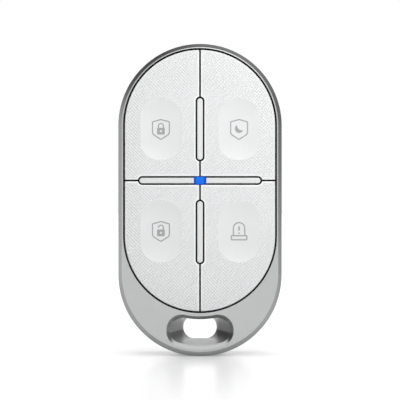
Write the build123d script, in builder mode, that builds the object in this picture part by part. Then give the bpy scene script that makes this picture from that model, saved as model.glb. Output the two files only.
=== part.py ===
from build123d import *
import math
import os

os.makedirs("parts", exist_ok=True)

# Alarm key fob standing on its lower end, in millimetres.
# X runs to the right seen from the front, Y towards the back, Z up along the body.
# The origin is the middle of the key slot, half way through the body.

# Depths, one behind the other from the front face to the back
pocket_depth = 4.0
board_gap = 2.0
board_thickness = 1.0
cell_gap = 0.3
cell_thickness = 3.2
door_gap = 0.2
door_thickness = 1.3

# Outline of the body
body_width = 38.2
body_length = 73.0
slot_to_end = 5.95
front_bevel = 0.85
chin_bevel = 1.1
bevel_depth = 0.9
rear_round = 0.8

# Keypad opening in the front and cavity behind it
rim = 1.17
rim_top = 1.05
chin_height = 10.15
ledge = 0.8
chin_step = 1.5
cover_rebate = 1.5

# Key slot through the chin
slot_wall = 0.72
slot_floor = 1.67
mouth_width = 15.74
mouth_corner = 3.6
mouth_bevel = 0.78
mouth_bevel_depth = 0.7
throat_width = 8.0
throat_height = 5.4
throat_corner = 2.6
flare = 0.85
flare_depth = 1.8

# Key caps
key_gap = 0.4
key_split = 0.27
key_proud = 0.3
key_plate = 1.3
key_wall = 0.9
key_height = 2.25
key_round = 0.3
key_travel = 0.3
crown_start = 12.0
crown_drop = 0.4

# Finger dimples
dimple_width = 9.9
dimple_length = 14.4
dimple_flat = 6.0
dimple_depth = 0.6
dimple_shift = 0.35
dimple_drop = 1.07
dimple_lift = 0.4

# Ribs of the cross
rib_width = 1.35
rib_length = 14.4
rib_rise = 12.0
bar_inset = 3.4
rib_proud = 0.05
rib_round = 0.3
rib_margin = 0.3
rib_foot_width = 0.75
rib_foot_depth = 0.8
rib_foot_setback = 1.6

# Status window and its lamp
window_width = 2.6
window_height = 1.85
window_gap = 0.1
window_round = 0.2
window_stem_width = 1.7
window_stem_height = 1.1
led_width = 1.6
led_height = 0.8
led_thickness = 0.6
led_gap = 0.15

# Carrier plate, seal sheet and the guides of the keys
carrier_thickness = 1.4
seal_thickness = 0.3
seal_margin = 0.2
actuator_radius = 1.4
guide_fit = 0.15
hook_gap = 0.8
hook_thickness = 1.0
hook_width = 2.2
hook_nose = 0.35
hook_nose_height = 0.75
hook_play = 0.05

# Switches on the board
switch_size = 5.2
switch_height = 1.0
switch_corner = 0.5
plunger_radius = 0.85
plunger_proud = 0.5
plunger_sunk = 0.3
plunger_fit = 0.1

# Screws that clamp the carrier, the board and the back
screw_angle = 37.0
boss_gap = 0.7
screw_radius = 0.75
screw_fit = 0.02
screw_clearance = 0.2
screw_tip_skin = 0.6
screw_tip_gap = 0.2
head_radius = 1.5
head_height = 0.7
head_sunk = 0.2
head_gap = 0.2
drive_width = 1.4
drive_depth = 0.4
boss_radius = 2.0

# Fits
seat_fit = 0.1
board_fit = 0.3
overrun = 1.0

# Coin cell, its holder and contacts
cell_diameter = 20.0
cell_rise = 5.0
cell_round = 0.35
cell_cap_inset = 1.2
cell_cap_depth = 0.25
holder_clearance = 0.3
holder_wall = 1.0
holder_height = 2.1
holder_mouth = 12.0
contact_thickness = 0.25
contact_width = 3.2
contact_reach = 6.5
strap_gap = 0.03
strap_length = 8.0
strap_height = 2.4

# Back and battery door
gasket_thickness = 0.4
gasket_width = 0.6
spigot_depth = 0.2
cover_round = 0.3
collar_clearance = 0.6
collar_wall = 1.6
collar_height = 1.3
door_fit = 0.1
door_round = 0.25
tab_count = 3
tab_reach = 1.0
tab_width = 6.0
tab_thickness = 0.85
tab_play = 0.05
tab_angle = 90.0
door_turn = 40.0
notch_fit = 0.25
coin_length = 15.0
coin_width = 1.9
coin_depth = 0.75
groove_width = 0.55
groove_depth = 0.45
seal_fit = 0.02

# Parts on the back of the board
chip_size = 5.0
chip_thickness = 0.9
chip_round = 0.15
crystal_width = 3.2
crystal_height = 2.5
crystal_thickness = 0.8
crystal_x = 6.2
crystal_round = 0.5
passive_length = 1.6
passive_width = 0.8
passive_thickness = 0.5
passive_rows = 3
passive_pitch = 2.0
passive_x = 6.4
antenna_inset = 1.2
antenna_width = 0.9
antenna_thickness = 0.4
antenna_gap = 0.5

# Planes across the body, worked out from the depths
body_depth = pocket_depth + board_gap + board_thickness + cell_gap + cell_thickness
body_depth += door_gap + door_thickness
front_y = -body_depth / 2
rear_y = body_depth / 2
ledge_y = front_y + pocket_depth
board_front_y = ledge_y + board_gap
board_rear_y = board_front_y + board_thickness
cell_front_y = board_rear_y + cell_gap
cell_rear_y = cell_front_y + cell_thickness
door_front_y = cell_rear_y + door_gap
carrier_y = ledge_y - carrier_thickness
key_front_y = front_y - key_proud
key_under_y = key_front_y + key_plate
skirt_y = key_front_y + key_height
rib_front_y = front_y - rib_proud
plunger_y = board_front_y - switch_height - plunger_proud
step_y = rear_y - cover_rebate
gasket_y = step_y + gasket_thickness
cover_inner_y = step_y - spigot_depth

# Centres of the round ends and of the cross
body_radius = body_width / 2
low_z = body_radius - slot_to_end
crest_z = body_length - body_radius - slot_to_end
keypad_radius = body_radius - rim
keypad_z = chin_height - slot_to_end + keypad_radius
high_z = body_length - slot_to_end - rim_top - keypad_radius
cross_z = (keypad_z + high_z) / 2
key_radius = keypad_radius - key_gap
bar_length = 2 * (key_radius - bar_inset)
dimple_x = key_radius / 2 + dimple_shift
dimple_rise = (high_z - keypad_z) / 2 - dimple_drop
cavity_radius = keypad_radius - ledge
cavity_z = keypad_z + chin_step
bar_half = (bar_length - window_width) / 2 - window_gap
bar_middle = (bar_length - bar_half) / 2
cell_z = cross_z + cell_rise
cell_radius = cell_diameter / 2
collar_radius = cell_radius + collar_clearance
door_radius = collar_radius + collar_wall

# Places that several pieces share
keys = {"arm": (-1, 1), "night": (1, 1), "disarm": (-1, -1), "panic": (1, -1)}
switch_points = [(s * dimple_x, cross_z + v * dimple_rise) for s, v in keys.values()]
near_hook_x = rib_width / 2 + rib_margin + key_wall + hook_gap + hook_thickness / 2
far_hook_x = key_radius - key_wall - hook_gap - hook_thickness / 2
hook_points = [(math.copysign(h, x), z) for x, z in switch_points for h in (near_hook_x, far_hook_x)]
screw_reach = cavity_radius - boss_gap - boss_radius
screw_x = screw_reach * math.cos(math.radians(screw_angle))
screw_rise = screw_reach * math.sin(math.radians(screw_angle))
screw_points = [(s * screw_x, high_z + screw_rise) for s in (-1, 1)]
screw_points += [(s * screw_x, cavity_z - screw_rise) for s in (-1, 1)]


def plane_at(y):
    """Plane across the body at depth y; extrusions from it run to the front."""
    return Plane.XZ.offset(-y)


def stadium(radius, low, high, mode=Mode.ADD):
    """Upright outline with two round ends, centred at the heights low and high."""
    with Locations((0, (low + high) / 2)):
        SlotCenterToCenter(high - low, 2 * radius, rotation=90, mode=mode)


def finish(part_builder, name):
    """Label a finished piece and write it to its own file."""
    part_builder.part.label = name
    export_step(part_builder.part, "parts/" + name + ".step")


def slot_mouth(inset):
    """Bean between the chin's outer curve and the keypad's lower curve."""
    Rectangle(mouth_width - 2 * inset, body_width)
    with Locations((0, low_z)):
        Circle(body_radius - slot_floor - inset, mode=Mode.INTERSECT)
    with Locations((0, keypad_z)):
        Circle(keypad_radius + slot_wall + inset, mode=Mode.SUBTRACT)
    mouth = sorted(vertices(), key=lambda corner: corner.Z)
    fillet(mouth, mouth_corner - inset)


def rib_slots(margin, mode=Mode.ADD):
    """The three rib outlines of the cross, grown by margin."""
    for rise in (-rib_rise, rib_rise):
        with Locations((0, cross_z + rise)):
            SlotOverall(rib_length + 2 * margin, rib_width + 2 * margin, rotation=90, mode=mode)
    with Locations((0, cross_z)):
        SlotOverall(bar_length + 2 * margin, rib_width + 2 * margin, mode=mode)


# Frame: bevelled body with the keypad pocket, the cavity and the rebate for the back
with BuildPart() as front_frame:
    with BuildSketch(plane_at(front_y)):
        stadium(body_radius - front_bevel, low_z + chin_bevel - front_bevel, crest_z)
    with BuildSketch(plane_at(front_y + bevel_depth)):
        stadium(body_radius, low_z, crest_z)
    loft(ruled=True)
    with BuildSketch(plane_at(rear_y)):
        stadium(body_radius, low_z, crest_z)
    extrude(amount=body_depth - bevel_depth)
    fillet(front_frame.faces().sort_by(Axis.Y)[-1].edges(), rear_round)
    with BuildSketch(plane_at(ledge_y)):
        stadium(keypad_radius, keypad_z, high_z)
    extrude(amount=pocket_depth + overrun, mode=Mode.SUBTRACT)
    with BuildSketch(plane_at(rear_y + overrun)):
        stadium(cavity_radius, cavity_z, high_z)
    extrude(amount=body_depth + overrun - pocket_depth, mode=Mode.SUBTRACT)
    with BuildSketch(plane_at(rear_y + overrun)):
        stadium(keypad_radius, cavity_z, high_z)
    extrude(amount=cover_rebate + overrun, mode=Mode.SUBTRACT)

    # Key slot: bevelled mouth, walls that draw in to the throat, flare at the back
    with BuildSketch(plane_at(front_y)):
        slot_mouth(0)
    with BuildSketch(plane_at(front_y + mouth_bevel_depth)):
        slot_mouth(mouth_bevel)
    loft(ruled=True, mode=Mode.SUBTRACT)
    with BuildSketch(plane_at(front_y + mouth_bevel_depth)):
        slot_mouth(mouth_bevel)
    with BuildSketch(plane_at(rear_y - flare_depth)):
        RectangleRounded(throat_width, throat_height, throat_corner)
    loft(ruled=True, mode=Mode.SUBTRACT)
    with BuildSketch(plane_at(rear_y - flare_depth)):
        RectangleRounded(throat_width, throat_height, throat_corner)
    with BuildSketch(plane_at(rear_y)):
        RectangleRounded(throat_width + 2 * flare, throat_height + 2 * flare, throat_corner + flare)
    loft(ruled=True, mode=Mode.SUBTRACT)
finish(front_frame, "front_frame")


# Carrier plate: guides for the keys, seats for ribs and window, bosses for the screws
with BuildPart() as button_carrier:
    with BuildSketch(plane_at(ledge_y)):
        stadium(keypad_radius - seat_fit, keypad_z, high_z)
        with Locations(*switch_points):
            Circle(actuator_radius + guide_fit, mode=Mode.SUBTRACT)
        with Locations(*hook_points):
            Rectangle(hook_thickness + 2 * guide_fit, hook_width + 2 * guide_fit, mode=Mode.SUBTRACT)
        with Locations((0, cross_z)):
            window_hole = (window_stem_width + 2 * seat_fit, window_stem_height + 2 * seat_fit)
            Rectangle(*window_hole, mode=Mode.SUBTRACT)
    extrude(amount=carrier_thickness)
    with BuildSketch(plane_at(carrier_y + rib_foot_depth)):
        socket_cut = 2 * rib_foot_setback - 2 * seat_fit
        socket_width = rib_foot_width + 2 * seat_fit
        for rise in (-rib_rise, rib_rise):
            with Locations((0, cross_z + rise)):
                SlotOverall(rib_length - socket_cut, socket_width, rotation=90)
        for side in (-1, 1):
            with Locations((side * bar_middle, cross_z)):
                SlotOverall(bar_half - socket_cut, socket_width)
    extrude(amount=rib_foot_depth + overrun, mode=Mode.SUBTRACT)
    with BuildSketch(plane_at(board_front_y)):
        with Locations(*screw_points):
            Circle(boss_radius)
    extrude(amount=board_front_y - ledge_y)
    with BuildSketch(plane_at(board_front_y)):
        with Locations(*screw_points):
            Circle(screw_radius + screw_fit)
    extrude(amount=board_front_y - carrier_y - screw_tip_skin, mode=Mode.SUBTRACT)
finish(button_carrier, "button_carrier")


# Seal sheet on the carrier, under the skirts of the keys
with BuildPart() as keypad_seal:
    with BuildSketch(plane_at(carrier_y)):
        stadium(keypad_radius - seal_margin, keypad_z, high_z)
        rib_slots(seat_fit, mode=Mode.SUBTRACT)
        with Locations((0, cross_z)):
            Rectangle(window_width + 2 * seat_fit, window_height + 2 * seat_fit, mode=Mode.SUBTRACT)
        with Locations(*switch_points):
            Circle(actuator_radius + seal_margin, mode=Mode.SUBTRACT)
        with Locations(*hook_points):
            Rectangle(hook_thickness + 2 * seal_margin, hook_width + 2 * seal_margin, mode=Mode.SUBTRACT)
    extrude(amount=seal_thickness)
finish(keypad_seal, "keypad_seal")


def crown_profile():
    """Half section of the key field, flat and then rolling off to the edge."""
    with BuildLine() as section:
        flat = Line((0, key_front_y), (crown_start, key_front_y))
        roll = TangentArc(flat @ 1, (key_radius, key_front_y + crown_drop), tangent=flat % 1)
        Polyline(roll @ 1, (key_radius, skirt_y), (0, skirt_y), flat @ 0)
    make_face(section.edges())


# Crowned block of the whole key field, cut into the four keys below
with BuildPart() as key_field:
    for level, turn in ((keypad_z, 1), (high_z, -1)):
        with BuildSketch(Plane.XY.offset(level)):
            crown_profile()
        revolve(axis=Axis((0, 0, level), (0, turn, 0)), revolution_arc=180)
    with BuildSketch(Plane.XY.offset(keypad_z)):
        crown_profile()
        mirror(about=Plane.YZ)
    extrude(amount=high_z - keypad_z)


def key_outline(side, level, inset):
    """Outline of one key: a quarter of the field, cut back round the ribs."""
    stadium(key_radius - inset, keypad_z, high_z)
    corner_x = side * (key_split / 2 + inset)
    corner_z = cross_z + level * (key_split / 2 + inset)
    align_x = Align.MIN if side > 0 else Align.MAX
    align_z = Align.MIN if level > 0 else Align.MAX
    with Locations((corner_x, corner_z)):
        Rectangle(body_width, body_length, align=(align_x, align_z), mode=Mode.INTERSECT)
    rib_slots(rib_margin + inset, mode=Mode.SUBTRACT)


def build_key(side, level):
    """Key cap with a finger dimple, a hollow under it, the actuator and two hooks."""
    centre_x = side * dimple_x
    centre_z = cross_z + level * dimple_rise
    thin_wall = bar_inset - rib_margin
    with BuildPart() as key:
        add(key_field.part)
        with BuildSketch(plane_at(skirt_y)):
            key_outline(side, level, 0)
        extrude(amount=key_height + overrun, mode=Mode.INTERSECT)
        tops = key.faces().filter_by(lambda face: face.normal_at().Y < -0.5)
        walls = key.faces().filter_by(lambda face: abs(face.normal_at().Y) < 0.1)
        fillet(tops.edges() & walls.edges(), min(key_round, thin_wall / 3))
        with BuildSketch(plane_at(skirt_y)):
            key_outline(side, level, key_wall)
        extrude(amount=skirt_y - key_under_y, mode=Mode.SUBTRACT)

        # Dimple: a shallow trough with round ends, turned about an upright axis in front
        half_width = dimple_width / 2
        flat_half = dimple_flat / 2
        end_length = dimple_length / 2 - flat_half
        trough_radius = (half_width**2 + dimple_depth**2) / (2 * dimple_depth)
        end_radius = (end_length**2 + dimple_depth**2) / (2 * dimple_depth)
        floor_y = key_front_y + dimple_depth
        axis_y = floor_y - trough_radius
        lift_y = key_front_y - dimple_lift
        lift_length = math.sqrt(end_radius**2 - (end_radius - dimple_depth - dimple_lift) ** 2)
        with BuildSketch(Plane.YZ.offset(centre_x)):
            with BuildLine():
                floor = Line((floor_y, centre_z - flat_half), (floor_y, centre_z + flat_half))
                top_point = (lift_y, centre_z + flat_half + lift_length)
                low_point = (lift_y, centre_z - flat_half - lift_length)
                upper = TangentArc(floor @ 1, top_point, tangent=(0, 1))
                lower = TangentArc(floor @ 0, low_point, tangent=(0, -1))
                Polyline(upper @ 1, (axis_y, (upper @ 1).Y), (axis_y, (lower @ 1).Y), lower @ 1)
            make_face()
        revolve(axis=Axis((centre_x, axis_y, 0), (0, 0, 1)), mode=Mode.SUBTRACT)

        # Actuator post over the switch
        with BuildSketch(plane_at(plunger_y)):
            with Locations((centre_x, centre_z)):
                Circle(actuator_radius)
        extrude(amount=plunger_y - key_under_y)

        # Hooks that catch behind the carrier plate
        catch_y = ledge_y + hook_play
        for way, stem_x in ((-side, near_hook_x), (side, far_hook_x)):
            stem = side * stem_x
            near = stem - way * hook_thickness / 2
            far = stem + way * hook_thickness / 2
            nose = far + way * hook_nose
            with BuildSketch(Plane.XY.offset(centre_z - hook_width / 2)):
                with BuildLine():
                    Polyline(
                        (near, key_under_y),
                        (near, catch_y + hook_nose_height),
                        (far, catch_y + hook_nose_height),
                        (nose, catch_y + hook_nose),
                        (nose, catch_y),
                        (far, catch_y),
                        (far, key_under_y),
                        close=True,
                    )
                make_face()
            extrude(amount=hook_width)
    return key


for key_name, (side, level) in keys.items():
    finish(build_key(side, level), key_name + "_button")


def upright_outline(level):
    """Outline of the rib above or below the cross, round at both ends."""
    with Locations((0, cross_z + level * rib_rise)):
        SlotOverall(rib_length, rib_width, rotation=90)


def bar_outline(side):
    """Half of the cross rib, square beside the window and round at the outer end."""
    with Locations((0, cross_z)):
        SlotOverall(bar_length, rib_width)
    with Locations((side * bar_middle, cross_z)):
        Rectangle(bar_half, rib_width, mode=Mode.INTERSECT)


def build_rib(outline, way, length, turn, x, z):
    """Rib with rounded front edges and a narrow foot let into the carrier."""
    with BuildPart() as rib:
        with BuildSketch(plane_at(carrier_y)):
            outline(way)
        extrude(amount=carrier_y - rib_front_y)
        fillet(rib.faces().sort_by(Axis.Y)[0].edges(), rib_round)
        with BuildSketch(plane_at(carrier_y + rib_foot_depth)):
            with Locations((x, z)):
                SlotOverall(length - 2 * rib_foot_setback, rib_foot_width, rotation=turn)
        extrude(amount=rib_foot_depth)
    return rib


for rib_name, level in (("upper_rib", 1), ("lower_rib", -1)):
    middle_z = cross_z + level * rib_rise
    finish(build_rib(upright_outline, level, rib_length, 90, 0, middle_z), rib_name)
for rib_name, side in (("left_rib", -1), ("right_rib", 1)):
    finish(build_rib(bar_outline, side, bar_half, 0, side * bar_middle, cross_z), rib_name)


# Status window: a head between the ribs and a stem through the carrier to the lamp
with BuildPart() as led_window:
    with BuildSketch(plane_at(carrier_y)):
        with Locations((0, cross_z)):
            Rectangle(window_width, window_height)
    extrude(amount=carrier_y - rib_front_y)
    fillet(led_window.faces().sort_by(Axis.Y)[0].edges(), window_round)
    with BuildSketch(plane_at(board_front_y - led_thickness - led_gap)):
        with Locations((0, cross_z)):
            Rectangle(window_stem_width, window_stem_height)
    extrude(amount=board_front_y - led_thickness - led_gap - carrier_y)
finish(led_window, "led_window")


# Circuit board on the carrier's bosses
with BuildPart() as circuit_board:
    with BuildSketch(plane_at(board_rear_y)):
        stadium(cavity_radius - board_fit, cavity_z, high_z)
        with Locations(*screw_points):
            Circle(screw_radius + screw_clearance, mode=Mode.SUBTRACT)
    extrude(amount=board_thickness)
finish(circuit_board, "circuit_board")


# Four tactile switches on the front of the board
with BuildPart() as switch_housings:
    with BuildSketch(plane_at(board_front_y)):
        with Locations(*switch_points):
            Rectangle(switch_size, switch_size)
        chamfer(vertices(), switch_corner)
    extrude(amount=switch_height)
    with BuildSketch(plane_at(plunger_y + plunger_proud + plunger_sunk + key_travel + plunger_fit)):
        with Locations(*switch_points):
            Circle(plunger_radius + plunger_fit)
    extrude(amount=switch_height, mode=Mode.SUBTRACT)
finish(switch_housings, "switch_housings")


# Plungers of the switches, each pushed by its key
for key_name, point in zip(keys, switch_points):
    with BuildPart() as plunger:
        with BuildSketch(plane_at(plunger_y + plunger_proud + plunger_sunk)):
            with Locations(point):
                Circle(plunger_radius)
        extrude(amount=plunger_proud + plunger_sunk)
    finish(plunger, key_name + "_plunger")


# Lamp under the window
with BuildPart() as status_led:
    with BuildSketch(plane_at(board_front_y)):
        with Locations((0, cross_z)):
            Rectangle(led_width, led_height)
    extrude(amount=led_thickness)
finish(status_led, "status_led")


# Radio chip, crystal and small parts on the back of the board, below the cell
holder_radius = cell_radius + holder_clearance + holder_wall
chip_z = (cavity_z - cavity_radius + board_fit + cell_z - holder_radius) / 2
with BuildPart() as radio_chip:
    with BuildSketch(plane_at(board_rear_y + chip_thickness)):
        with Locations((0, chip_z)):
            Rectangle(chip_size, chip_size)
    extrude(amount=chip_thickness)
    fillet(radio_chip.edges().filter_by(Axis.Y), chip_round)
finish(radio_chip, "radio_chip")

with BuildPart() as crystal:
    with BuildSketch(plane_at(board_rear_y + crystal_thickness)):
        with Locations((crystal_x, chip_z)):
            RectangleRounded(crystal_width, crystal_height, crystal_round)
    extrude(amount=crystal_thickness)
finish(crystal, "crystal")

with BuildPart() as chip_components:
    with BuildSketch(plane_at(board_rear_y + passive_thickness)):
        with Locations((-passive_x, chip_z)):
            with GridLocations(passive_pitch + passive_width, passive_pitch, 2, passive_rows):
                Rectangle(passive_length, passive_width)
    extrude(amount=passive_thickness)
finish(chip_components, "chip_components")

# Antenna: a flat strip that follows the lower end of the board
with BuildPart() as antenna:
    antenna_radius = cavity_radius - board_fit - antenna_inset
    antenna_height = antenna_radius - screw_rise - boss_radius - antenna_gap
    with BuildSketch(plane_at(board_rear_y + antenna_thickness)):
        with Locations((0, cavity_z)):
            Circle(antenna_radius)
            Circle(antenna_radius - antenna_width, mode=Mode.SUBTRACT)
        with Locations((0, cavity_z - antenna_radius)):
            Rectangle(body_width, 2 * antenna_height, mode=Mode.INTERSECT)
    extrude(amount=antenna_thickness)
finish(antenna, "antenna")


# Coin cell: can with a rounded rim and a smaller cap towards the board
with BuildPart() as battery:
    with BuildSketch(plane_at(cell_rear_y)):
        with Locations((0, cell_z)):
            Circle(cell_radius)
    extrude(amount=cell_thickness - cell_cap_depth)
    fillet(battery.edges(), cell_round)
    with BuildSketch(plane_at(cell_front_y + cell_cap_depth)):
        with Locations((0, cell_z)):
            Circle(cell_radius - cell_cap_inset)
    extrude(amount=cell_cap_depth)
finish(battery, "battery")

# Ring that holds the cell on the board, open where the positive contact stands
with BuildPart() as battery_holder:
    with BuildSketch(plane_at(board_rear_y + holder_height)):
        with Locations((0, cell_z)):
            Circle(holder_radius)
            Circle(cell_radius + holder_clearance, mode=Mode.SUBTRACT)
        with Locations((0, cell_z - cell_radius)):
            Rectangle(holder_mouth, cell_radius, mode=Mode.SUBTRACT)
    extrude(amount=holder_height)
finish(battery_holder, "battery_holder")

# Positive contact: a bent strap that stands on the board and touches the can's side
with BuildPart() as positive_contact:
    strap_radius = cell_radius + strap_gap
    with BuildSketch(plane_at(board_rear_y + strap_height)):
        with Locations((0, cell_z)):
            Circle(strap_radius + contact_thickness)
            Circle(strap_radius, mode=Mode.SUBTRACT)
        with Locations((0, cell_z - cell_radius)):
            Rectangle(strap_length, cell_radius, mode=Mode.INTERSECT)
    extrude(amount=strap_height)
finish(positive_contact, "positive_contact")

# Negative contact: a flat cross under the cap of the cell
with BuildPart() as negative_contact:
    with BuildSketch(plane_at(board_rear_y + contact_thickness)):
        with Locations((0, cell_z)):
            Rectangle(2 * contact_reach, contact_width)
            Rectangle(contact_width, 2 * contact_reach)
    extrude(amount=contact_thickness)
finish(negative_contact, "negative_contact")


def door_tabs(reach, width, angle):
    """Bayonet tabs round the middle of the cell, as a star of short bars."""
    with Locations((0, cell_z)):
        with PolarLocations(reach / 2, tab_count, start_angle=angle):
            Rectangle(reach, width)
        Circle(reach, mode=Mode.INTERSECT)


# Back: plate let into the frame, posts to the board, door opening with notches
with BuildPart() as rear_cover:
    with BuildSketch(plane_at(rear_y)):
        stadium(keypad_radius - seat_fit, cavity_z, high_z)
    extrude(amount=rear_y - gasket_y)
    fillet(rear_cover.faces().sort_by(Axis.Y)[-1].edges(), cover_round)
    with BuildSketch(plane_at(gasket_y)):
        stadium(cavity_radius - seat_fit, cavity_z, high_z)
    extrude(amount=gasket_y - cover_inner_y)
    with BuildSketch(plane_at(cover_inner_y)):
        with Locations(*screw_points):
            Circle(boss_radius)
    extrude(amount=cover_inner_y - board_rear_y)
    with BuildSketch(plane_at(rear_y + overrun)):
        notch_width = tab_width + 2 * notch_fit
        door_tabs(door_radius + tab_reach + notch_fit, notch_width, tab_angle - door_turn)
        with Locations((0, cell_z)):
            Circle(door_radius + door_fit)
    extrude(amount=rear_y + overrun - board_rear_y, mode=Mode.SUBTRACT)
    back_plane = Plane(origin=(0, rear_y, 0), x_dir=(-1, 0, 0), z_dir=(0, 1, 0))
    with Locations(back_plane):
        with Locations(*screw_points):
            bore_radius = screw_radius + screw_clearance
            CounterBoreHole(bore_radius, head_radius + head_gap, head_height + head_sunk)
finish(rear_cover, "rear_cover")

# Flat gasket between the back and the step in the frame
with BuildPart() as cover_gasket:
    with BuildSketch(plane_at(gasket_y)):
        stadium(keypad_radius - seat_fit, cavity_z, high_z)
        stadium(keypad_radius - seat_fit - gasket_width, cavity_z, high_z, mode=Mode.SUBTRACT)
    extrude(amount=gasket_thickness)
finish(cover_gasket, "cover_gasket")

# Four screws from the back through the board into the carrier
with BuildPart() as cover_screws:
    head_y = rear_y - head_sunk
    tip_y = carrier_y + screw_tip_skin + screw_tip_gap
    with BuildSketch(plane_at(head_y)):
        with Locations(*screw_points):
            Circle(head_radius)
    extrude(amount=head_height)
    with BuildSketch(plane_at(head_y - head_height)):
        with Locations(*screw_points):
            Circle(screw_radius)
    extrude(amount=head_y - head_height - tip_y)
    with BuildSketch(plane_at(head_y)):
        with Locations(*screw_points):
            RegularPolygon(drive_width / 2, 6)
    extrude(amount=drive_depth, mode=Mode.SUBTRACT)
finish(cover_screws, "cover_screws")


# Battery door: disc with a coin slot, a collar round the cell and three tabs
tab_rear_y = cover_inner_y - tab_play
with BuildPart() as battery_door:
    with BuildSketch(plane_at(rear_y)):
        with Locations((0, cell_z)):
            Circle(door_radius)
    extrude(amount=door_thickness)
    with BuildSketch(plane_at(door_front_y)):
        with Locations((0, cell_z)):
            Circle(door_radius)
            Circle(collar_radius, mode=Mode.SUBTRACT)
    extrude(amount=collar_height)
    fillet(battery_door.faces().sort_by(Axis.Y)[-1].edges(), door_round)
    with BuildSketch(plane_at(tab_rear_y)):
        door_tabs(door_radius + tab_reach, tab_width, tab_angle)
        with Locations((0, cell_z)):
            Circle(collar_radius, mode=Mode.SUBTRACT)
    extrude(amount=tab_thickness)
    with BuildSketch(plane_at(rear_y)):
        with Locations((0, cell_z)):
            SlotOverall(coin_length, coin_width)
    extrude(amount=coin_depth, mode=Mode.SUBTRACT)
    with BuildSketch(plane_at(door_front_y + groove_width)):
        with Locations((0, cell_z)):
            Circle(door_radius + overrun)
            Circle(door_radius - groove_depth, mode=Mode.SUBTRACT)
    extrude(amount=groove_width, mode=Mode.SUBTRACT)
finish(battery_door, "battery_door")

# Sealing ring in the groove of the door
with BuildPart() as door_seal:
    with BuildSketch(plane_at(door_front_y + groove_width)):
        with Locations((0, cell_z)):
            Circle(door_radius + door_fit - seal_fit)
            Circle(door_radius - groove_depth, mode=Mode.SUBTRACT)
    extrude(amount=groove_width)
finish(door_seal, "door_seal")
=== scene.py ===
import math
import bpy
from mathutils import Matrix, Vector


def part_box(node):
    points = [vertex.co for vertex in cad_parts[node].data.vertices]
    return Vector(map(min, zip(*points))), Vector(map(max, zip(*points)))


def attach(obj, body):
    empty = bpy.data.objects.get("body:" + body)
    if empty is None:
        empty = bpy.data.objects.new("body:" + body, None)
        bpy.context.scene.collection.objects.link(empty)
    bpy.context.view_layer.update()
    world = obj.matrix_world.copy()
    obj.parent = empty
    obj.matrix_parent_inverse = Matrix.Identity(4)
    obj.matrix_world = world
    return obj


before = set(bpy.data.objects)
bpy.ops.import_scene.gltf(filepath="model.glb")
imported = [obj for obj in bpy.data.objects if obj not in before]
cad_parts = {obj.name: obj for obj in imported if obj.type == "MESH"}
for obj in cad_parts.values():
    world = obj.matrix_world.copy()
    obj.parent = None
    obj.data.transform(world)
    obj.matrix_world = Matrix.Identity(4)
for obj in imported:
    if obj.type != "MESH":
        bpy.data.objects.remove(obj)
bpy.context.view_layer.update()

# Lengths are in metres, and mm turns millimetres into metres; the materials work in millimetres
mm = 0.001


def span(node):
    """Lowest and highest corner of a node of the frame."""
    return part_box(node)


# Places read from the frame
body_low, body_high = span("front_frame")
arm_low, _ = span("arm_button")
night_low, night_high = span("night_button")
disarm_low, disarm_high = span("disarm_button")
plunger_low, plunger_high = span("night_plunger")
upright_low, upright_high = span("upper_rib")
_, bar_high = span("right_rib")
window_low, window_high = span("led_window")
door_low, door_high = span("battery_door")

# Middles, radii and half lengths, worked out from those places
cross_z = (night_low.z + disarm_high.z) / 2
key_radius = night_high.x
key_split = night_low.x
lower_centre_z = disarm_low.z + key_radius
upper_centre_z = night_high.z - key_radius
dimple_x = (plunger_low.x + plunger_high.x) / 2
dimple_rise = (plunger_low.z + plunger_high.z) / 2 - cross_z
rib_half = upright_high.x
upright_middle = (upright_low.z + upright_high.z) / 2 - cross_z
upright_half = (upright_high.z - upright_low.z) / 2 - rib_half
bar_half = bar_high.x - rib_half
door_z = (door_low.z + door_high.z) / 2
door_radius = (door_high.x - door_low.x) / 2

# Gap round a rib, and a dimple: half its width, half its straight stretch and its round end
rib_gap = 0.3 * mm
dimple_half_width = 4.95 * mm
dimple_flat_half = 3.0 * mm
dimple_end = 4.24 * mm


class Value:
    """A shader socket that is written in sums as a number is."""

    def __init__(self, shader, socket):
        self.shader = shader
        self.socket = socket

    def math(self, operation, *others):
        return self.shader.math(operation, self, *others)

    def __add__(self, other):
        return self.math("ADD", other)

    def __sub__(self, other):
        return self.math("SUBTRACT", other)

    def __mul__(self, other):
        return self.math("MULTIPLY", other)

    def __truediv__(self, other):
        return self.math("DIVIDE", other)

    def __radd__(self, other):
        return self.shader.math("ADD", other, self)

    def __rsub__(self, other):
        return self.shader.math("SUBTRACT", other, self)

    def __rmul__(self, other):
        return self.shader.math("MULTIPLY", other, self)

    def __rtruediv__(self, other):
        return self.shader.math("DIVIDE", other, self)

    def __neg__(self):
        return self.math("MULTIPLY", -1.0)

    def __abs__(self):
        return self.math("ABSOLUTE")


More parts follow.
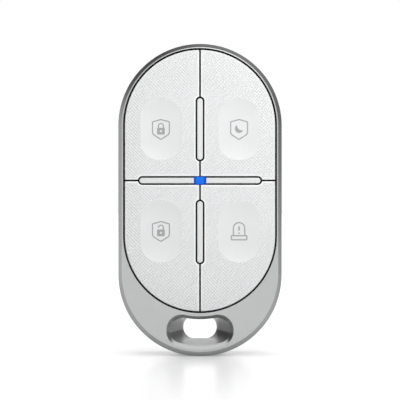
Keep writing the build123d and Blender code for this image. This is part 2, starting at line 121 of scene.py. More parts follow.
class Shader:
    """A node tree that is filled by calls: node() adds any node and gives one of its outputs."""

    def __init__(self, tree):
        self.tree = tree
        self.tree.nodes.clear()

    def node(self, kind, settings, sockets, out=0):
        item = self.tree.nodes.new(kind)
        for name, setting in settings.items():
            setattr(item, name, setting)
        for key, value in sockets.items():
            if isinstance(value, Value):
                self.tree.links.new(value.socket, item.inputs[key])
            else:
                item.inputs[key].default_value = value
        return Value(self, item.outputs[out]) if item.outputs else None

    def math(self, operation, *values):
        return self.node("ShaderNodeMath", {"operation": operation}, dict(enumerate(values)))

    def smaller(self, first, *others):
        for other in others:
            first = self.math("MINIMUM", first, other)
        return first

    def larger(self, first, *others):
        for other in others:
            first = self.math("MAXIMUM", first, other)
        return first

    def root(self, value):
        return self.math("SQRT", value)

    def wave(self, value):
        return self.math("SINE", value)

    def step(self, value, low, high, to_low=0.0, to_high=1.0):
        """Smooth step from to_low, below low, to to_high, above high."""
        settings = {"interpolation_type": "SMOOTHSTEP"}
        sockets = {0: value, 1: low, 2: high, 3: to_low, 4: to_high}
        return self.node("ShaderNodeMapRange", settings, sockets)

    def drop(self, value, low, high):
        """Smooth step from 1, below low, to 0, above high."""
        return self.step(value, low, high, 1.0, 0.0)

    def blend(self, factor, first, second):
        """Colour that goes from first to second as factor goes from 0 to 1."""
        sockets = {0: factor, 6: first, 7: second}
        return self.node("ShaderNodeMix", {"data_type": "RGBA"}, sockets, out=2)

    def place(self):
        """The point's place in the object's own frame, as three lengths in millimetres."""
        split = {"Vector": self.node("ShaderNodeTexCoord", {}, {}, out="Object")}
        return [self.node("ShaderNodeSeparateXYZ", {}, split, out=axis) * (1 / mm) for axis in range(3)]

    def noise(self, size, detail=2.0):
        """Noise of about 0 to 1 whose blotches are size across."""
        point = self.node("ShaderNodeTexCoord", {}, {}, out="Object")
        sockets = {"Vector": point, "Scale": 1 / size, "Detail": detail}
        return self.node("ShaderNodeTexNoise", {}, sockets, out="Fac")

    def bump(self, height, depth):
        return self.node("ShaderNodeBump", {}, {"Height": height, "Distance": depth})

    def light_path(self, ray):
        return self.node("ShaderNodeLightPath", {}, {}, out=ray)

    def skin(self, sockets):
        return self.node("ShaderNodeBsdfPrincipled", {}, sockets)

    def end(self, result):
        self.node("ShaderNodeOutputMaterial", {}, {"Surface": result})

    def finish(self, sockets):
        """Ends the material in one skin with these sockets."""
        self.end(self.skin(sockets))


def new_material(name):
    material = bpy.data.materials.new(name)
    material.use_nodes = True
    return material, Shader(material.node_tree)


def grey(level):
    return (level, level, level, 1.0)


def shade_of(colour, factor):
    """The colour made lighter or darker by a factor."""
    return tuple(min(channel * factor, 1.0) for channel in colour[:3]) + (1.0,)


def clouded(s, cloud, colour, spread):
    """The colour, from a little darker to a little lighter as the clouds go."""
    return s.blend(cloud, shade_of(colour, 1 - spread), shade_of(colour, 1 + spread))


# Bare metal: how far the colour strays, and how the grain and the clouds change its roughness
metal_cloud = 6 * mm
metal_spread = 0.05
metal_detail = 3.0
metal_grain_roughness = 0.12
metal_cloud_roughness = 0.06


def metal_roughness(roughness, fine, cloud):
    return roughness + (fine - 0.5) * metal_grain_roughness + (cloud - 0.5) * metal_cloud_roughness


def metal(name, colour, roughness, grain, grain_depth):
    """Bare metal with a fine grain, uneven roughness and a slightly cloudy colour."""
    material, s = new_material(name)
    cloud = s.noise(metal_cloud)
    fine = s.noise(grain, metal_detail)
    s.finish({
        "Base Color": clouded(s, cloud, colour, metal_spread),
        "Metallic": 1.0,
        "Roughness": metal_roughness(roughness, fine, cloud),
        "Normal": s.bump(fine, grain_depth),
    })
    return material


# Moulded plastic: how far the colour strays, and how the grain changes its roughness
plastic_cloud = 5 * mm
plastic_spread = 0.02
plastic_grain_roughness = 0.14


def plastic(name, colour, roughness, grain, grain_depth):
    """Moulded plastic with a fine spark-eroded grain and a slight variation in colour."""
    material, s = new_material(name)
    cloud = s.noise(plastic_cloud)
    fine = s.noise(grain)
    s.finish({
        "Base Color": clouded(s, cloud, colour, plastic_spread),
        "Roughness": roughness + (fine - 0.5) * plastic_grain_roughness,
        "Normal": s.bump(fine, grain_depth),
    })
    return material


# Frame: bright front face, painted shade that darkens its bevels and sides, and darker painted shade on
# the walls of the key slot, more on the right. Sizes without mm are in millimetres, and a pair is where
# a tone starts and where it is full.
frame_metal = (0.475, 0.482, 0.48, 1.0)
frame_roughness = 0.24
frame_tint = grey(0.85)
frame_grain = 0.15 * mm
frame_grain_depth = 0.004 * mm

# Its painted shades as shares of the face's tone, and how much of the slot's painted shade the mouth and
# top take
bevel_shade_share = 0.71
slot_left_shade_share = 0.36
slot_right_shade_share = 0.22
mouth_shade_weight = 0.8
slot_top_shade_weight = 0.75

# Where its tones change
front_bevel = 0.85
chin_bevel = 1.1
tone_edge = 0.05
face_end = (0.3, 0.5)
chin_start = (0.3, 0.5)
slot_lip = 0.75
slot_sides = (3.4, 4.6)
slot_middle = 1.0
mouth_start = (0.03, 0.1)
mouth_sides = (6.2, 7.0)
slot_top = (1.6, 2.6)
slot_half_height = 4.4
slot_edge = 0.1
back_edge = (0.05, 0.1)


def frame_material():
    material, s = new_material("frame_satin_metal_painted_shade")
    x, y, z = s.place()
    side = abs(x)
    depth = y - body_low.y / mm
    half = body_high.x / mm
    crest_z = body_high.z / mm - half
    foot_z = body_low.z / mm + half + chin_bevel - front_bevel
    past = s.larger(z - crest_z, foot_z - z, 0.0)
    inside = half - front_bevel - s.root(x * x + past * past)
    chin = s.step(inside, *chin_start)
    face = s.step(inside, -tone_edge, tone_edge) * s.drop(depth, *face_end)

    # Painted shade in the slot: its two side walls, the ends of its mouth and its upper edge, and
    # nothing outside it
    slot_shade = s.step(side, *slot_sides) * s.step(depth, slot_lip - tone_edge, slot_lip + tone_edge)
    below_face = s.step(depth, *mouth_start)
    mouth = s.step(side, *mouth_sides) * below_face
    top = s.step(z, *slot_top) * below_face
    slot_shade = s.larger(slot_shade, mouth * mouth_shade_weight, top * slot_top_shade_weight)
    slot_shade = slot_shade * s.drop(abs(z), slot_half_height - slot_edge, slot_half_height)
    slot_shade = slot_shade * s.drop(side, half / 2, half / 2 + slot_edge) * chin
    slot_shade = slot_shade * s.step(body_high.y / mm - y, *back_edge)

    cloud = s.noise(metal_cloud)
    fine = s.noise(frame_grain, metal_detail)
    bright = clouded(s, cloud, frame_metal, metal_spread)
    # Painted shade: the bevels and sides take a darker share of the metal's colour
    shaded_shell = clouded(s, cloud, shade_of(frame_metal, bevel_shade_share), metal_spread)
    # Painted shade in the slot: the left wall darker than the face, the right wall darker still
    shaded_left_wall = shade_of(frame_metal, slot_left_shade_share)
    shaded_right_wall = shade_of(frame_metal, slot_right_shade_share)
    shaded_wall = s.blend(s.step(x, -slot_middle, slot_middle), shaded_left_wall, shaded_right_wall)
    s.finish({
        "Base Color": s.blend(slot_shade, s.blend(s.larger(face, chin), shaded_shell, bright), shaded_wall),
        "Metallic": 1.0,
        "Roughness": metal_roughness(frame_roughness, fine, cloud),
        "Normal": s.bump(fine, frame_grain_depth),
        "Specular Tint": frame_tint,
    })
    return material


# Key caps: white plastic with a woven relief and painted shade in its grooves, a plain border round each
# key painted lighter as a highlight, plain dimples, and side walls along the cross painted black as
# shade
key_white = (0.78, 0.795, 0.796, 1.0)
edge_highlight_white = (0.93, 0.94, 0.94, 1.0)
outer_edge_highlight = (0.84, 0.85, 0.85, 1.0)
painted_gap_shade = grey(0.01)
border_width = 0.42
border_edge = 0.08
gap_shade_reach = 0.085
gap_shade_edge = 0.04
dimple_edge = (0.93, 1.0)
weave_pitch = 0.56
weave_depth = 0.12 * mm
falling_height = 0.24
rising_height = 0.36
key_grain = 0.12 * mm
key_grain_height = 0.015
falling_groove_shade = 0.02
rising_groove_shade = 0.005
groove_shade_lift = 0.04
lightest = 1.1
key_cloud = 7 * mm
key_spread = 0.01
key_roughness = 0.42
weave_roughness = 0.1
key_specular = 0.4


def capsule(s, across, along, half_length, radius):
    """Distance outside a straight shape with round ends."""
    past = s.larger(abs(along) - half_length, 0.0)
    return s.root(across * across + past * past) - radius


def key_material():
    material, s = new_material("key_caps_white_painted_shade_and_highlight")
    x, _, z = s.place()
    side = abs(x)
    rise = z - cross_z / mm
    level = abs(rise)

    # Distance to the nearest edge of the key
    up = s.larger(z - upper_centre_z / mm, 0.0)
    down = s.larger(lower_centre_z / mm - z, 0.0)
    reach = s.larger(up, down)
    rim = key_radius / mm - s.root(side * side + reach * reach)
    cut_radius = (rib_half + rib_gap) / mm
    upright = capsule(s, x, level - upright_middle / mm, upright_half / mm, cut_radius)
    bar = capsule(s, rise, side, bar_half / mm, cut_radius)
    cross = s.smaller(side - key_split / mm, level - key_split / mm, upright, bar)
    inner = s.step(s.smaller(rim, cross), border_width - border_edge, border_width + border_edge)

    # Dimple: a trough with rounded ends
    over = s.larger(abs(level - dimple_rise / mm) - dimple_flat_half / mm, 0.0) / (dimple_end / mm)
    wide = (side - dimple_x / mm) / (dimple_half_width / mm)
    woven = inner * s.step(wide * wide + over * over, *dimple_edge)

    # Two sets of diagonal ribs that cross
    turn = 2 * math.pi / (weave_pitch * math.sqrt(2))
    falling = s.wave((x + z) * turn)
    rising = s.wave((x - z) * turn)
    relief = (falling * falling_height + rising * rising_height) * woven
    # Painted shade in the grooves of the weave, stronger along the falling ribs
    groove_shade = (falling * falling_groove_shade + rising * rising_groove_shade + groove_shade_lift) * woven + 1.0

    cloud = s.noise(key_cloud)
    low, high = shade_of(key_white, lightest - key_spread), shade_of(key_white, lightest + key_spread)
    tone = s.blend(groove_shade / lightest, grey(0.0), s.blend(cloud, low, high))
    # Painted highlight: the smooth border is lighter than the key, lighter still beside the cross
    border_highlight = s.blend(s.step(rim, border_width, 2 * border_width), outer_edge_highlight, edge_highlight_white)
    tone = s.blend(inner, border_highlight, tone)
    # Painted shade: the side walls along the cross are painted black
    clear_of_gap_shade = s.step(cross, gap_shade_reach - gap_shade_edge, gap_shade_reach)
    s.finish({
        "Base Color": s.blend(clear_of_gap_shade, painted_gap_shade, tone),
        "Roughness": key_roughness + woven * weave_roughness,
        "Normal": s.bump(relief + s.noise(key_grain) * key_grain_height, weave_depth),
        "Specular IOR Level": key_specular,
    })
    return material


# Ribs of the cross, whose rounded edges are painted a little lighter as a highlight
rib_white = (0.765, 0.78, 0.775, 1.0)
rib_highlight_edge = (0.12, 0.26)
rib_grain = 0.2 * mm
rib_grain_depth = 0.002 * mm
rib_roughness = 0.4
rib_grain_roughness = 0.08


def rib_material():
    material, s = new_material("rib_white")
    x, _, z = s.place()
    rise = abs(z - cross_z / mm)
    upright = capsule(s, x, rise - upright_middle / mm, upright_half / mm, rib_half / mm)
    bar = capsule(s, rise, abs(x), bar_half / mm, rib_half / mm)
    fine = s.noise(rib_grain)
    s.finish({
        # Painted highlight on the rounded edges of the ribs
        "Base Color": s.blend(s.step(-s.smaller(upright, bar), *rib_highlight_edge), edge_highlight_white, rib_white),
        "Roughness": rib_roughness + fine * rib_grain_roughness,
        "Normal": s.bump(fine, rib_grain_depth),
    })
    return material


# Status window, lit from behind: bright in the middle, with a painted highlight on its upper half and
# painted shade that darkens its sides
window_plastic = (0.0, 0.02, 0.25, 1.0)
lower_blue = (0.0, 0.14, 0.62, 1.0)
highlight_blue = (0.0, 0.19, 0.72, 1.0)
shaded_edge_blue = (0.0, 0.06, 0.5, 1.0)
window_sides = (0.55, 0.85)
window_ends = (0.72, 1.0)
window_rise = (-0.6, 0.7)
window_roughness = 0.25
window_specular = 0.25
window_glow = 0.9


def window_material():
    material, s = new_material("status_window_blue")
    x, _, z = s.place()
    half_height = (window_high.z - window_low.z) / 2
    across = abs(x) / (window_high.x / mm)
    height = (z - cross_z / mm) / (half_height / mm)
    # Painted shade at the sides and ends, and a painted highlight on the upper half
    shadow = s.larger(s.step(across, *window_sides), s.step(abs(height), *window_ends))
    core = s.blend(s.step(height, *window_rise), lower_blue, highlight_blue)
    s.finish({
        "Base Color": window_plastic,
        "Roughness": window_roughness,
        "Specular IOR Level": window_specular,
        "Emission Color": s.blend(shadow, core, shaded_edge_blue),
        "Emission Strength": window_glow,
    })
    return material


# Circuit board: green solder mask over copper tracks, with gilt holes
mask_green = (0.012, 0.085, 0.035, 1.0)
track_green = (0.03, 0.17, 0.07, 1.0)
hole_gilt = (0.72, 0.5, 0.2, 1.0)
track_pitch = 1.9
track_sway = 1.4
track_sway_pitch = 5.7
track_edge = (0.72, 0.86)
hole_pitch = 2.2 * mm
hole_edge = (0.1, 0.16)
track_depth = 0.02 * mm
board_roughness = 0.3


def board_material():
    material, s = new_material("board_green")
    x, _, z = s.place()
    sway = s.wave(z * (2 * math.pi / track_sway_pitch)) * track_sway
    tracks = s.step(s.wave(x * (2 * math.pi / track_pitch) + sway), *track_edge)
    dots = s.node("ShaderNodeTexVoronoi", {}, {"Scale": 1 / hole_pitch}, out="Distance")
    holes = s.drop(dots, *hole_edge)
    s.finish({
        "Base Color": s.blend(holes, s.blend(tracks, mask_green, track_green), hole_gilt),
        "Roughness": board_roughness,
        "Normal": s.bump(tracks + holes, track_depth),
    })
    return material


# Back and door: fine grain, and marks beside the door: a filled dot for closed, a ring for open,
# and a dot on the door that points at one of them
back_grain = 0.16 * mm
back_grain_detail = 3.0
back_grain_depth = 0.006 * mm
back_grain_roughness = 0.15
back_cloud = 9 * mm
back_spread = 0.02
back_white = (0.76, 0.77, 0.765, 1.0)
back_roughness = 0.45
door_white = (0.78, 0.79, 0.785, 1.0)
door_roughness = 0.42
mark_grey = (0.33, 0.34, 0.34, 1.0)
mark_edge = 0.06
mark_radius = 0.5
mark_gap = 1.6
ring_line = 0.2
open_angle = math.radians(40)
door_dot_radius = 0.48
door_dot_inset = 2.2


def spot(s, across, up, radius):
    """Round spot of 1 on 0, from the distances to its centre."""
    distance = s.root(across * across + up * up)
    return s.drop(distance, radius - mark_edge, radius + mark_edge)


def cover_material():
    material, s = new_material("back_white")
    x, _, z = s.place()
    away = door_radius / mm + mark_gap
    rise = z - door_z / mm
    closed = spot(s, x, rise + away, mark_radius)
    across = x + away * math.sin(open_angle)
    up = rise + away * math.cos(open_angle)
    ring = spot(s, across, up, mark_radius) - spot(s, across, up, mark_radius - ring_line)
    fine = s.noise(back_grain, back_grain_detail)
    base = clouded(s, s.noise(back_cloud), back_white, back_spread)
    s.finish({
        "Base Color": s.blend(closed + ring, base, mark_grey),
        "Roughness": back_roughness + (fine - 0.5) * back_grain_roughness,
        "Normal": s.bump(fine, back_grain_depth),
    })
    return material


def door_material():
    material, s = new_material("door_white")
    x, _, z = s.place()
    dot = spot(s, x, z - door_z / mm + (door_radius / mm - door_dot_inset), door_dot_radius)
    fine = s.noise(back_grain, back_grain_detail)
    s.finish({
        "Base Color": s.blend(dot, door_white, mark_grey),
        "Roughness": door_roughness + (fine - 0.5) * back_grain_roughness,
        "Normal": s.bump(fine, back_grain_depth),
    })
    return material


# Each finish and the nodes that have it; a plain finish gives its colour, its roughness, and the
# size and the depth of its grain
key_plastic = key_material()
rubber_black = plastic("seal_black_rubber", grey(0.008), 0.7, 0.3 * mm, 0.01 * mm)
carrier_black = plastic("carrier_black", grey(0.012), 0.6, 0.2 * mm, 0.01 * mm)
switch_black = plastic("switch_black", grey(0.02), 0.4, 0.2 * mm, 0.004 * mm)
plunger_brown = plastic("plunger_brown", (0.12, 0.05, 0.03, 1.0), 0.4, 0.2 * mm, 0.002 * mm)
lamp_clear = plastic("lamp_clear", (0.75, 0.78, 0.7, 1.0), 0.2, 0.3 * mm, 0.002 * mm)
chip_black = plastic("chip_black", grey(0.025), 0.45, 0.1 * mm, 0.004 * mm)
ceramic_tan = plastic("ceramic_tan", (0.35, 0.24, 0.15, 1.0), 0.4, 0.2 * mm, 0.004 * mm)
crystal_can = metal("crystal_can", (0.72, 0.71, 0.68, 1.0), 0.25, 0.2 * mm, 0.002 * mm)
cell_steel = metal("cell_steel", (0.7, 0.7, 0.69, 1.0), 0.22, 0.1 * mm, 0.003 * mm)
contact_gilt = metal("contact_gilt", (0.8, 0.62, 0.32, 1.0), 0.3, 0.2 * mm, 0.002 * mm)
holder_black = plastic("holder_black", grey(0.02), 0.5, 0.2 * mm, 0.006 * mm)
screw_steel = metal("screw_steel", (0.55, 0.55, 0.56, 1.0), 0.3, 0.08 * mm, 0.002 * mm)
pictogram_grey = plastic("pictogram_grey", (0.365, 0.375, 0.38, 1.0), 0.45, 0.15 * mm, 0.001 * mm)
finishes = {
    frame_material(): ["front_frame"],
    key_plastic: ["arm_button", "night_button", "disarm_button", "panic_button"],
    rib_material(): ["upper_rib", "lower_rib", "left_rib", "right_rib"],
    window_material(): ["led_window"],
    rubber_black: ["keypad_seal", "cover_gasket", "door_seal"],
    carrier_black: ["button_carrier"],
    board_material(): ["circuit_board"],
    switch_black: ["switch_housings"],
    plunger_brown: ["arm_plunger", "night_plunger", "disarm_plunger", "panic_plunger"],
    lamp_clear: ["status_led"],
    chip_black: ["radio_chip"],
    ceramic_tan: ["chip_components"],
    crystal_can: ["crystal"],
    cell_steel: ["battery"],
    contact_gilt: ["positive_contact", "negative_contact", "antenna"],
    holder_black: ["battery_holder"],
    cover_material(): ["rear_cover"],
    door_material(): ["battery_door"],
    screw_steel: ["cover_screws"],
}
for material, names in finishes.items():
    for name in names:
        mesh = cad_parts[name].data
        mesh.materials.clear()
        mesh.materials.append(material)


# Pictograms in the dimples and a band round each key's edge: thin flat pieces wrapped on the keys
print_y = arm_low.y
ink_line = 0.28 * mm
ink_thickness = 0.012 * mm
band_thickness = 0.004 * mm
smooth_angle = math.radians(30)
facing_front = (math.pi / 2, 0, 0)
disc_sides = 32
round_segments = 4
wrap_cuts = 2
tiny = 0.001 * mm


def plate(x, z, width, height):
    """Upright rectangle of one face, centred at (x, z)."""
    bpy.ops.object.select_all(action="DESELECT")
    middle = (x, print_y, z)
    bpy.ops.mesh.primitive_plane_add(size=1, location=middle, rotation=facing_front)
    piece = bpy.context.object
    piece.scale = (width, height, 1)
    bpy.ops.object.transform_apply(location=True, rotation=True, scale=True)
    return piece


def disc(x, z, radius, sides=disc_sides):
    """Upright round face, centred at (x, z)."""
    bpy.ops.object.select_all(action="DESELECT")
    settings = {"vertices": sides, "radius": radius, "fill_type": "NGON"}
    bpy.ops.mesh.primitive_circle_add(location=(x, print_y, z), rotation=facing_front, **settings)
    piece = bpy.context.object
    bpy.ops.object.transform_apply(location=True, rotation=True, scale=True)
    return piece


def edit(piece, mode="VERT", test=None):
    """Edit mode with everything selected, or only the corners or faces that pass the test."""
    bpy.ops.object.select_all(action="DESELECT")
    piece.select_set(True)
    bpy.context.view_layer.objects.active = piece
    bpy.ops.object.mode_set(mode="EDIT")
    bpy.ops.mesh.select_mode(type=mode)
    bpy.ops.mesh.select_all(action="SELECT")
    if test:
        bpy.ops.mesh.select_all(action="DESELECT")
        bpy.ops.object.mode_set(mode="OBJECT")
        if mode == "VERT":
            for vertex in piece.data.vertices:
                vertex.select = test(vertex.co)
        else:
            for face in piece.data.polygons:
                face.select = test(face.center)
        bpy.ops.object.mode_set(mode="EDIT")


def done():
    bpy.ops.object.mode_set(mode="OBJECT")


def round_corners(piece, radius, test=None):
    edit(piece, "VERT", test)
    bpy.ops.mesh.bevel(offset=radius, segments=round_segments, affect="VERTICES")
    done()


def hollow(piece, width):
    """Leaves a line of that width along the outline."""
    edit(piece, "FACE")
    bpy.ops.mesh.inset(thickness=width)
    bpy.ops.mesh.delete(type="FACE")
    done()


def halve(piece, z):
    """Takes away the faces under the height z."""
    edit(piece, "FACE", lambda place: place.z < z)
    bpy.ops.mesh.delete(type="FACE")
    done()


def lengthen(piece, x, z, side, length):
    """Draws one end of an arch straight down; side is -1 for the left end, 1 for the right."""
    edit(piece, "VERT", lambda place: abs(place.z - z) < tiny and (place.x - x) * side > 0)
    move = {"value": (0, 0, -length)}
    bpy.ops.mesh.extrude_edges_move(TRANSFORM_OT_translate=move)
    done()


def divide(piece):
    """More points along the lines, so that they follow the curve of the key."""
    edit(piece)
    bpy.ops.mesh.subdivide(number_cuts=wrap_cuts)
    done()


def join(name, pieces):
    bpy.ops.object.select_all(action="DESELECT")
    for piece in pieces:
        piece.select_set(True)
    bpy.context.view_layer.objects.active = pieces[0]
    if len(pieces) > 1:
        bpy.ops.object.join()
    joined = bpy.context.object
    joined.name = name
    joined.data.name = name
    return joined


def cut_out(piece, cutter):
    """Takes a solid away from the flat piece, which has thickness only while it is cut."""
    edit(piece)
    move = {"value": (0, ink_line, 0)}
    bpy.ops.mesh.extrude_region_move(TRANSFORM_OT_translate=move)
    bpy.ops.mesh.select_all(action="SELECT")
    bpy.ops.mesh.normals_make_consistent(inside=False)
    done()
    cut = piece.modifiers.new("cut", "BOOLEAN")
    cut.operation = "DIFFERENCE"
    cut.object = cutter
    bpy.ops.object.modifier_apply(modifier="cut")
    edit(piece, "FACE", lambda place: place.y > print_y + tiny)
    bpy.ops.mesh.delete(type="FACE")
    done()
    bpy.data.objects.remove(cutter)


def turn_forward(piece):
    """Turns the faces that look backwards, so that the thickness grows away from the key."""
    edit(piece, "FACE", lambda place: False)
    done()
    for face in piece.data.polygons:
        face.select = face.normal.y > 0
    bpy.ops.object.mode_set(mode="EDIT")
    bpy.ops.mesh.flip_normals()
    done()


def lay_on(piece, key, body, material, thickness):
    """Wraps the flat piece on the key's surface and gives it its thickness."""
    bpy.ops.object.select_all(action="DESELECT")
    piece.select_set(True)
    bpy.context.view_layer.objects.active = piece
    wrap = piece.modifiers.new("wrap", "SHRINKWRAP")
    wrap.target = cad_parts[key]
    wrap.wrap_method = "PROJECT"
    wrap.use_project_y = True
    wrap.use_positive_direction = True
    wrap.use_negative_direction = True
    bpy.ops.object.modifier_apply(modifier="wrap")
    turn_forward(piece)
    solid = piece.modifiers.new("thickness", "SOLIDIFY")
    solid.thickness = thickness
    solid.offset = 1.0
    bpy.ops.object.modifier_apply(modifier="thickness")
    edit(piece)
    bpy.ops.mesh.normals_make_consistent(inside=False)
    done()
    bpy.ops.object.shade_smooth_by_angle(angle=smooth_angle)
    piece.data.materials.clear()
    piece.data.materials.append(material)
    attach(piece, body)


# Shield: the outer edge of its outline, in heights over the middle of the pictogram
shield_half = 1.965 * mm + ink_line / 2
shield_peak = 2.34 * mm + ink_line / 2
shoulder = 1.75 * mm + ink_line / 2
shield_foot = -1.12 * mm
shoulder_round = 0.22 * mm
foot_round = 0.5 * mm
peak_round = 0.22 * mm


def shield(x, z):
    middle_z = z + (shoulder + shield_foot) / 2
    piece = plate(x, middle_z, 2 * shield_half, shoulder - shield_foot)
    edit(piece)
    bpy.ops.mesh.subdivide(number_cuts=1)
    bpy.ops.mesh.dissolve_faces()
    done()

    # The middle of the upper side becomes the peak, and that of the lower side the point
    for side, rise in ((1, shield_peak - shoulder), (-1, -shield_peak - shield_foot)):
        edit(piece, "VERT", lambda place: abs(place.x - x) < tiny and (place.z - middle_z) * side > tiny)
        bpy.ops.transform.translate(value=(0, 0, rise))
        done()
    round_corners(piece, peak_round, lambda place: abs(place.x - x) < tiny)
    round_corners(piece, shoulder_round, lambda place: abs(place.z - z - shoulder) < tiny)
    round_corners(piece, foot_round, lambda place: abs(place.z - z - shield_foot) < tiny)
    hollow(piece, ink_line)
    divide(piece)
    return piece


# Padlock: a body with a keyhole, and a shackle whose left end is free when open
lock_width = 1.81 * mm
lock_height = 1.56 * mm
lock_top = 0.4 * mm
lock_round = 0.2 * mm
keyhole = 0.46 * mm
shackle_line = 0.29 * mm
shackle_radius = 0.583 * mm + shackle_line / 2
shackle_rise = 0.42 * mm
open_lift = 0.08 * mm


def padlock(x, z, is_open):
    top = z + lock_top + (open_lift if is_open else 0)
    body_z = top - lock_height / 2
    body = plate(x, body_z, lock_width, lock_height)
    round_corners(body, lock_round)
    bpy.ops.object.select_all(action="DESELECT")
    bpy.ops.mesh.primitive_cube_add(size=keyhole, location=(x, print_y, body_z))
    cut_out(body, bpy.context.object)
    bow_z = top + shackle_rise
    shackle = disc(x, bow_z, shackle_radius)
    hollow(shackle, shackle_line)
    halve(shackle, bow_z)
    for side in (1,) if is_open else (-1, 1):
        lengthen(shackle, x, bow_z, side, shackle_rise)
    return [body, shackle]


# Crescent moon: a disc with a larger round cut away towards the upper right
moon_radius = 0.99 * mm
moon_rise = 0.19 * mm
moon_sides = 48
bite_radius = 1.25 * mm
bite_away = 1.155 * mm
bite_direction = math.radians(48)
bite_sides = 64


def moon(x, z):
    piece = disc(x, z + moon_rise, moon_radius, moon_sides)
    bite_x = x + bite_away * math.cos(bite_direction)
    bite_z = z + moon_rise + bite_away * math.sin(bite_direction)
    bpy.ops.object.select_all(action="DESELECT")
    settings = {"vertices": bite_sides, "radius": bite_radius, "depth": bite_radius}
    place = {"location": (bite_x, print_y, bite_z), "rotation": facing_front}
    bpy.ops.mesh.primitive_cylinder_add(**settings, **place)
    cut_out(piece, bpy.context.object)
    return piece


# Siren: a dome on a base, with an exclamation mark in it
dome_radius = 1.33 * mm + ink_line / 2
dome_rise = 0.76 * mm
base_width = 3.62 * mm + ink_line
base_top = -0.97 * mm + ink_line / 2
base_bottom = -1.92 * mm - ink_line / 2
base_round = 0.3 * mm
mark_width = 0.36 * mm
mark_top = 1.23 * mm
mark_bottom = 0.2 * mm
mark_round = mark_width / 3
dot_radius = 0.19 * mm
dot_rise = -0.37 * mm
dot_sides = 16


def siren(x, z):
    dome = disc(x, z + dome_rise, dome_radius)
    hollow(dome, ink_line)
    halve(dome, z + dome_rise)
    for side in (-1, 1):
        lengthen(dome, x, z + dome_rise, side, dome_rise - base_top)
    base = plate(x, z + (base_top + base_bottom) / 2, base_width, base_top - base_bottom)
    round_corners(base, base_round)
    hollow(base, ink_line)
    mark = plate(x, z + (mark_top + mark_bottom) / 2, mark_width, mark_top - mark_bottom)
    round_corners(mark, mark_round)
    dot = disc(x, z + dot_rise, dot_radius, dot_sides)
    divide(base)
    return [dome, base, mark, dot]


# Band along the outer edge of each key, from the rounding inwards, for an even shade there
edge_rounding = 0.3 * mm
band_width = 1.3 * mm
band_sides = 160


def edge_band(side, centre_z, rise):
    """Quarter of a ring; side is -1 for the left keys, rise is -1 for the lower ones."""
    piece = disc(0, centre_z, key_radius - edge_rounding, band_sides)
    hollow(piece, band_width)
    edit(piece)
    start = (side * (key_split + edge_rounding), print_y, centre_z)
    bpy.ops.mesh.bisect(plane_co=start, plane_no=(side, 0, 0), clear_inner=True)
    bpy.ops.mesh.select_all(action="SELECT")
    bpy.ops.mesh.bisect(plane_co=start, plane_no=(0, 0, rise), clear_inner=True)
    done()
    divide(piece)
    return piece


upper_z = cross_z + dimple_rise
lower_z = cross_z - dimple_rise
pictograms = {
    "arm": (-1, 1, [shield(-dimple_x, upper_z)] + padlock(-dimple_x, upper_z, False)),
    "night": (1, 1, [shield(dimple_x, upper_z), moon(dimple_x, upper_z)]),
    "disarm": (-1, -1, [shield(-dimple_x, lower_z)] + padlock(-dimple_x, lower_z, True)),
    "panic": (1, -1, siren(dimple_x, lower_z)),
}
for name, (side, rise, pieces) in pictograms.items():
    key, body = name + "_button", name + "_key"
    lay_on(join(name + "_pictogram", pieces), key, body, pictogram_grey, ink_thickness)
    centre_z = upper_centre_z if rise > 0 else lower_centre_z
    band = join(name + "_edge", [edge_band(side, centre_z, rise)])
    lay_on(band, key, body, key_plastic, band_thickness)

# Studio floor: its tone and gloss, its glow near the object and far from it, and how near and far
floor_half = 3.0
floor_tone = grey(0.72)
floor_roughness = 0.22
near_glow = grey(0.2)
far_glow = grey(0.5)
floor_near = 60
floor_far = 300


def floor_material():
    """White glossy floor that keeps the object's shadow and a blurred mirror image of it."""
    material, s = new_material("studio_floor")
    mirrored = s.larger(s.light_path("Is Glossy Ray"), s.light_path("Is Transmission Ray"))
    seen = s.larger(s.light_path("Is Camera Ray"), mirrored)
    x, y, _ = s.place()
    far = s.step(s.root(x * x + y * y), floor_near, floor_far)
    sheet = s.skin({"Base Color": floor_tone, "Roughness": floor_roughness})
    glow = s.node("ShaderNodeEmission", {}, {"Color": s.blend(far, near_glow, far_glow)})
    glowing = s.node("ShaderNodeAddShader", {}, {0: sheet, 1: glow})
    s.end(s.node("ShaderNodeMixShader", {}, {0: seen, 1: sheet, 2: glowing}))
    return material


bpy.ops.object.select_all(action="DESELECT")
bpy.ops.mesh.primitive_plane_add(size=2 * floor_half, location=(0, 0, body_low.z))
floor = bpy.context.object
floor.name = "studio_floor"
floor.data.materials.append(floor_material())

# Room: how bright each side of it is, as the bevels, the slot and the keys show it. A pair is
# where one side of the room starts to turn into the next and where it has, as a share of the
# length of the direction.
front_light = 0.92
ceiling_front = 1.25
ceiling_middle = 0.5
ceiling_back = 1.0
left_light = 1.05
right_light = 0.36
corner_light = 0.09
corner_angle = math.radians(127.5)
dark_left = 0.28
dark_right = 0.5
left_back = 0.25
right_back = 0.38
backdrop = 1.0
left_to_right = (-0.6, 0.6)
to_ceiling = (0.3, 0.9)
to_corner = (0.66, 1.03)
ahead_to_ceiling = (0.5, 0.85)
back_left_to_right = (-0.5, 0.5)
back_to_ceiling = (0.25, 0.6)
to_ahead = (0.0, 0.1)
to_behind = (0.3, 0.45)
to_front = (0.72, 0.92)
to_backdrop = (0.9, 0.97)


def mixed_light(factor, first, second):
    return first + (second - first) * factor


world = bpy.data.worlds.new("studio_room")
bpy.context.scene.world = world
world.use_nodes = True
room = Shader(world.node_tree)
direction = room.node("ShaderNodeTexCoord", {}, {}, out="Generated")
split = {"Vector": direction}
dx, dy, dz = [room.node("ShaderNodeSeparateXYZ", {}, split, out=axis) for axis in range(3)]

# Band round the body's sides, from left over the top to the right, with one dark corner
band = room.step(dx, *left_to_right, left_light, right_light)
band = mixed_light(room.step(dz, *to_ceiling), band, ceiling_middle)
corner = dx * math.cos(corner_angle) + dz * math.sin(corner_angle)
band = mixed_light(room.step(corner, *to_corner), band, corner_light)

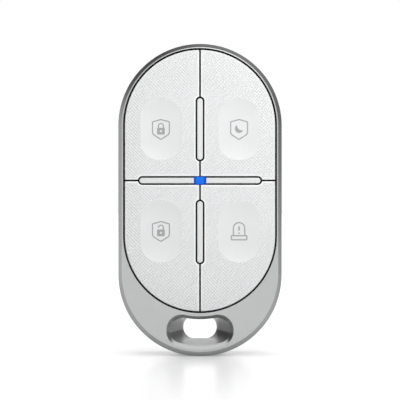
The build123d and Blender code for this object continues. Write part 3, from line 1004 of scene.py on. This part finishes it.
# Before and behind that band
ahead = room.step(dx, *left_to_right, dark_left, dark_right)
ahead = mixed_light(room.step(dz, *ahead_to_ceiling), ahead, ceiling_front)
behind = room.step(dx, *back_left_to_right, left_back, right_back)
behind = mixed_light(room.step(dz, *back_to_ceiling), behind, ceiling_back)
strength = mixed_light(room.step(-dy, *to_ahead), band, ahead)
strength = mixed_light(room.step(dy, *to_behind), strength, behind)
strength = mixed_light(room.step(-dy, *to_front), strength, front_light)
strength = mixed_light(room.step(dy, *to_backdrop), strength, backdrop)
strength = mixed_light(room.light_path("Is Camera Ray"), strength, 1.0)
background = room.node("ShaderNodeBackground", {}, {"Color": grey(1.0), "Strength": strength})
room.node("ShaderNodeOutputWorld", {}, {"Surface": background})


def lamp(name, place, size, power, mirrored=False):
    """Square soft lamp that faces the keys; it lights what is dull, or it is only mirrored."""
    bpy.ops.object.select_all(action="DESELECT")
    bpy.ops.object.light_add(type="AREA", location=place)
    item = bpy.context.object
    item.name = name
    item.data.shape = "SQUARE"
    item.data.size = size
    item.data.energy = power
    item.visible_camera = False
    item.visible_glossy = mirrored
    item.visible_diffuse = not mirrored
    across, ahead, up = -place[0], -place[1], cross_z - place[2]
    tilt = math.acos(-up / math.hypot(across, ahead, up))
    heading = math.atan2(ahead, across) - math.pi / 2
    item.rotation_euler = (tilt, 0, heading)


lamp("key_lamp", place=(0.03, -0.09, 0.08), size=0.05, power=0.035)
lamp("glint_lamp", place=(0.018, -0.09, 0.095), size=0.05, power=0.014, mirrored=True)
lamp("ceiling_lamp", place=(0, 0.05, 0.5), size=0.36, power=1.1)

# Camera: level, square in front. The picture is square, pixel is what one of its pixels measures
# on the front face, and slot_row is the row of the slot's middle, from the top.
picture_size = 400
pixel = 0.23306 * mm
slot_row = 331.13
camera_distance = 300 * mm
sensor = 36.0
camera_data = bpy.data.cameras.new("camera")
camera = bpy.data.objects.new("camera", camera_data)
bpy.context.scene.collection.objects.link(camera)
camera.location = (0, body_low.y - camera_distance, (slot_row - picture_size / 2) * pixel)
camera.rotation_euler = (math.pi / 2, 0, 0)
camera_data.sensor_width = sensor
camera_data.lens = sensor * camera_distance / (picture_size * pixel)
camera_data.clip_start = 0.01
camera_data.clip_end = 20
bpy.context.scene.camera = camera
bpy.context.scene.view_settings.view_transform = "Standard"
